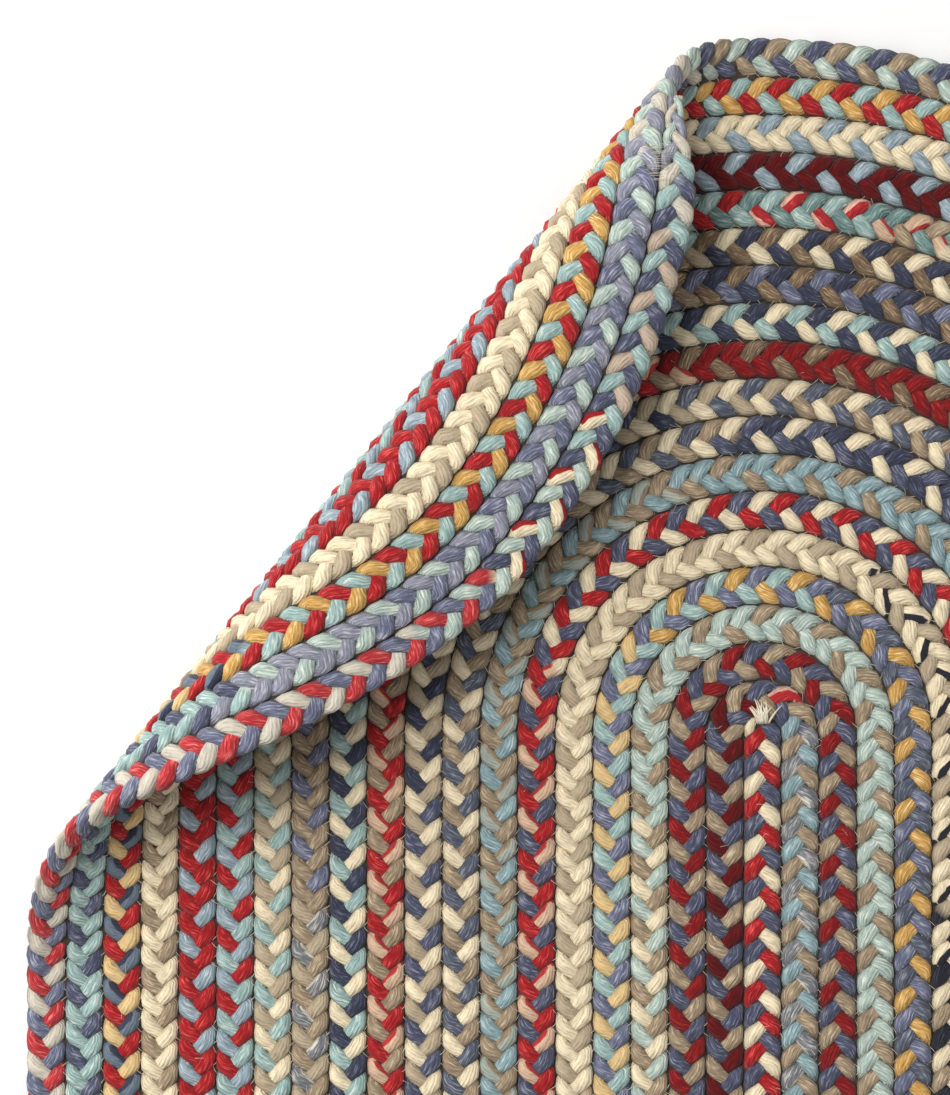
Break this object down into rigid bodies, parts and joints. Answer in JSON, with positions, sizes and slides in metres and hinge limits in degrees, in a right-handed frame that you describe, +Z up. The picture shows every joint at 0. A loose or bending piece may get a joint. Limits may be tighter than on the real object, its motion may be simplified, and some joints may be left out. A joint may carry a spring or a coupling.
{
  "type": "braided rug",
  "caption": "Oval rug of one wool braid coiled from a straight centre row and laced edge to edge, lying flat with one corner of its round end folded over.",
  "frame": {"origin": "on the floor, at the middle of the folded rug's bounding rectangle", "axes": "+X across the rug, +Y along it towards the folded end, +Z up"},
  "size_m": [0.7626, 1.2703, 0.1036],
  "materials": {
    "braided_wool": "matte heathered wool yarn in cream, taupe, aqua, blues, navy, red and gold"
  },
  "bodies": {
    "root": {"braided_rug": "braided_wool"}
  },
  "joints": []
}
